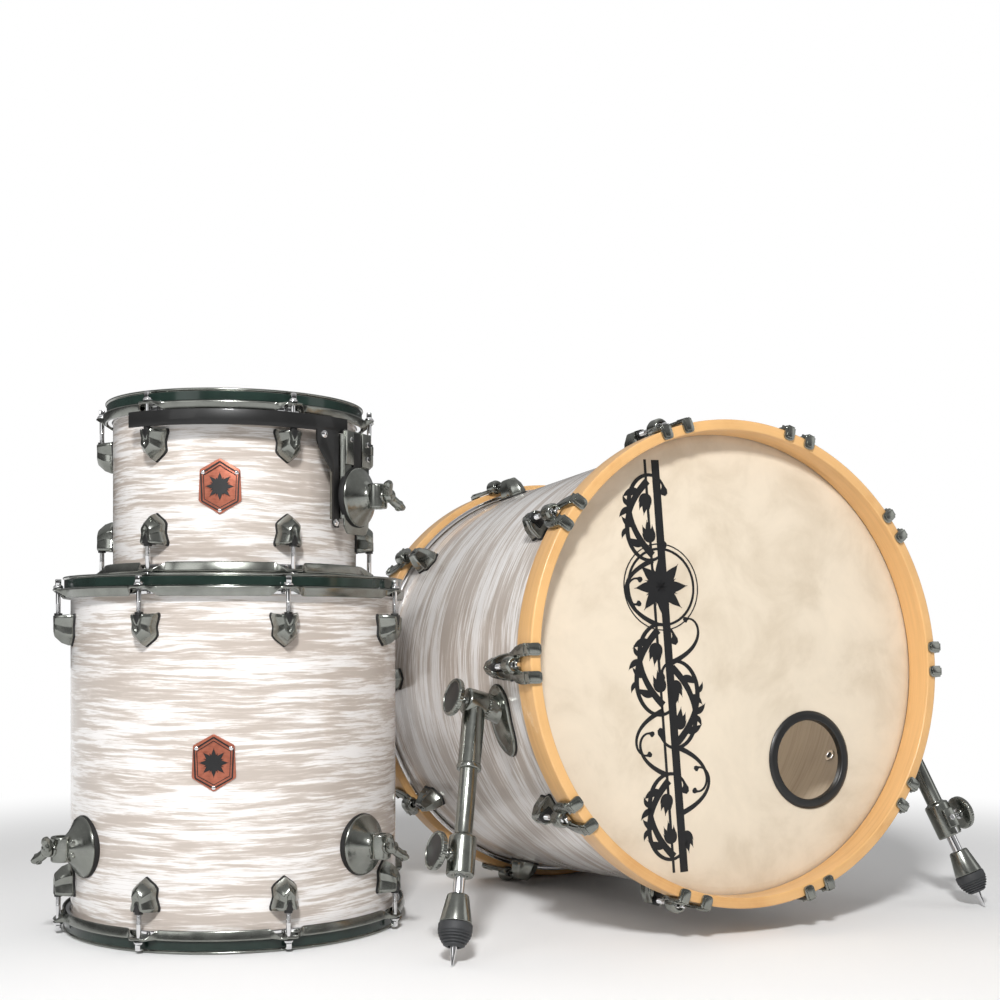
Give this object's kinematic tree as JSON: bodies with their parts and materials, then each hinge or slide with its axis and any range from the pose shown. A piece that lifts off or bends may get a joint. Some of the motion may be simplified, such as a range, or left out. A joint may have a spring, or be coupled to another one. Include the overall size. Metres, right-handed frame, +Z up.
{
  "type": "acoustic drum kit",
  "caption": "Acoustic drum kit: a bass drum on folding spurs, a floor tom standing beside it and a rack tom resting on the floor tom, with tuned heads, lugs, hoops and clamping brackets.",
  "frame": {"origin": "on the floor, under the middle of the kit's bounding box", "axes": "+Z up, +X to the right as seen from the front, where the bass drum's front head faces -Y"},
  "size_m": [1.1794, 0.6442, 0.6511],
  "materials": {
    "wrap": "white oyster wrap, gloss, streaked round the shell",
    "maple": "natural maple under satin lacquer",
    "film": "coated drum head film, cream and slightly mottled",
    "black_nickel": "black nickel plating, polished",
    "chrome": "bright chrome plating",
    "black_steel": "satin black powder coat",
    "black_plastic": "black moulded plastic, semi-gloss",
    "copper": "brushed copper plate with dark fill",
    "rubber": "moulded dark grey rubber, ribbed"
  },
  "bodies": {
    "bass_drum": {"bass_shell": "wrap", "bass_front_hoop": "maple", "bass_front_head": "film", "bass_front_claw_1": "black_nickel", "bass_front_claw_2": "black_nickel", "bass_front_claw_3": "black_nickel", "bass_front_claw_4": "black_nickel", "bass_front_claw_5": "black_nickel", "bass_front_claw_6": "black_nickel", "bass_front_claw_7": "black_nickel", "bass_front_claw_8": "black_nickel", "bass_front_claw_9": "black_nickel", "bass_front_claw_10": "black_nickel", "bass_rear_hoop": "maple", "bass_rear_head": "film", "bass_rear_claw_1": "black_nickel", "bass_rear_claw_2": "black_nickel", "bass_rear_claw_3": "black_nickel", "bass_rear_claw_4": "black_nickel", "bass_rear_claw_5": "black_nickel", "bass_rear_claw_6": "black_nickel", "bass_rear_claw_7": "black_nickel", "bass_rear_claw_8": "black_nickel", "bass_rear_claw_9": "black_nickel", "bass_rear_claw_10": "black_nickel", "bass_port_ring": "black_plastic", "spur_bracket_left": "black_nickel", "spur_bracket_right": "black_nickel"},
    "floor_tom": {"floor_tom_shell": "wrap", "floor_tom_bottom_hoop": "black_nickel", "floor_tom_bottom_head": "film", "floor_tom_top_hoop": "black_nickel", "floor_tom_top_head": "film", "floor_tom_badge": "copper", "floor_leg_bracket_1": "black_nickel", "floor_leg_bracket_2": "black_nickel", "floor_leg_bracket_3": "black_nickel"},
    "rack_tom": {"rack_tom_shell": "wrap", "rack_tom_bottom_hoop": "black_nickel", "rack_tom_bottom_head": "film", "rack_tom_top_hoop": "black_nickel", "rack_tom_top_head": "film", "rack_tom_badge": "copper", "rack_mount_rail": "black_steel", "rack_mount_plate": "black_nickel", "rack_mount_bracket": "black_nickel"},
    "left_spur_leg": {"spur_leg_left": "black_nickel"},
    "left_spur_rod": {"spur_rod_left": "chrome"},
    "left_spur_foot": {"spur_foot_left": "rubber"},
    "left_spur_pivot_knob": {"spur_pivot_knob_left": "black_nickel"},
    "left_spur_clamp_knob": {"spur_clamp_knob_left": "black_nickel"},
    "right_spur_leg": {"spur_leg_right": "black_nickel"},
    "right_spur_rod": {"spur_rod_right": "chrome"},
    "right_spur_foot": {"spur_foot_right": "rubber"},
    "right_spur_pivot_knob": {"spur_pivot_knob_right": "black_nickel"},
    "right_spur_clamp_knob": {"spur_clamp_knob_right": "black_nickel"},
    "floor_tom_wing_bolt_1": {"floor_wing_bolt_1": "black_nickel"},
    "floor_tom_wing_bolt_2": {"floor_wing_bolt_2": "black_nickel"},
    "floor_tom_wing_bolt_3": {"floor_wing_bolt_3": "black_nickel"},
    "rack_tom_wing_bolt": {"rack_wing_bolt": "black_nickel"}
  },
  "joints": [
    {"name": "floor_tom_lift", "type": "slide", "parent": "bass_drum", "child": "floor_tom", "axis": [0, 0, 1], "range_m": [0, 0.3]},
    {"name": "rack_tom_lift", "type": "slide", "parent": "floor_tom", "child": "rack_tom", "axis": [0, 0, 1], "range_m": [0, 0.3]},
    {"name": "left_spur_fold", "type": "hinge", "parent": "bass_drum", "child": "left_spur_leg", "pos_m": [-0.11837, -0.17926, 0.28117], "axis": [0.963, 0, -0.2695], "range_deg": [0, 20]},
    {"name": "left_spur_extend", "type": "slide", "parent": "left_spur_leg", "child": "left_spur_rod", "axis": [-0.2521, -0.3537, -0.9007], "range_m": [-0.008, 0.06]},
    {"name": "left_spur_foot_screw", "type": "slide", "parent": "left_spur_rod", "child": "left_spur_foot", "axis": [0.2521, 0.3537, 0.9007], "range_m": [0, 0.012]},
    {"name": "left_pivot_knob_turn", "type": "hinge", "parent": "bass_drum", "child": "left_spur_pivot_knob", "pos_m": [-0.11837, -0.17926, 0.28117], "axis": [-0.963, 0, 0.2695], "range_deg": [0, 360]},
    {"name": "left_clamp_knob_turn", "type": "hinge", "parent": "left_spur_leg", "child": "left_spur_clamp_knob", "pos_m": [-0.16981, -0.24576, 0.11296], "axis": [-0.963, 0, 0.2695], "range_deg": [0, 360]},
    {"name": "right_spur_fold", "type": "hinge", "parent": "bass_drum", "child": "right_spur_leg", "pos_m": [0.50059, -0.17926, 0.28117], "axis": [0.963, 0, 0.2695], "range_deg": [0, 100]},
    {"name": "right_spur_extend", "type": "slide", "parent": "right_spur_leg", "child": "right_spur_rod", "axis": [0.2521, -0.3537, -0.9007], "range_m": [-0.008, 0.06]},
    {"name": "right_spur_foot_screw", "type": "slide", "parent": "right_spur_rod", "child": "right_spur_foot", "axis": [-0.2521, 0.3537, 0.9007], "range_m": [0, 0.012]},
    {"name": "right_pivot_knob_turn", "type": "hinge", "parent": "bass_drum", "child": "right_spur_pivot_knob", "pos_m": [0.50059, -0.17926, 0.28117], "axis": [0.963, 0, 0.2695], "range_deg": [0, 360]},
    {"name": "right_clamp_knob_turn", "type": "hinge", "parent": "right_spur_leg", "child": "right_spur_clamp_knob", "pos_m": [0.55202, -0.24576, 0.11296], "axis": [0.963, 0, 0.2695], "range_deg": [0, 360]},
    {"name": "floor_wing_bolt_1_turn", "type": "hinge", "parent": "floor_tom", "child": "floor_tom_wing_bolt_1", "pos_m": [-0.53264, 0.03081, 0.11], "axis": [-0.9732, -0.23, 0], "range_deg": [0, 360]},
    {"name": "floor_wing_bolt_2_turn", "type": "hinge", "parent": "floor_tom", "child": "floor_tom_wing_bolt_2", "pos_m": [-0.22933, -0.09607, 0.11], "axis": [0.5195, -0.8545, 0], "range_deg": [0, 360]},
    {"name": "floor_wing_bolt_3_turn", "type": "hinge", "parent": "floor_tom", "child": "floor_tom_wing_bolt_3", "pos_m": [-0.25648, 0.26501, 0.11], "axis": [0.3859, 0.9225, 0], "range_deg": [0, 360]},
    {"name": "rack_wing_bolt_turn", "type": "hinge", "parent": "rack_tom", "child": "rack_tom_wing_bolt", "pos_m": [-0.22315, -0.06394, 0.5303], "axis": [0.6198, -0.7848, 0], "range_deg": [0, 360]}
  ]
}
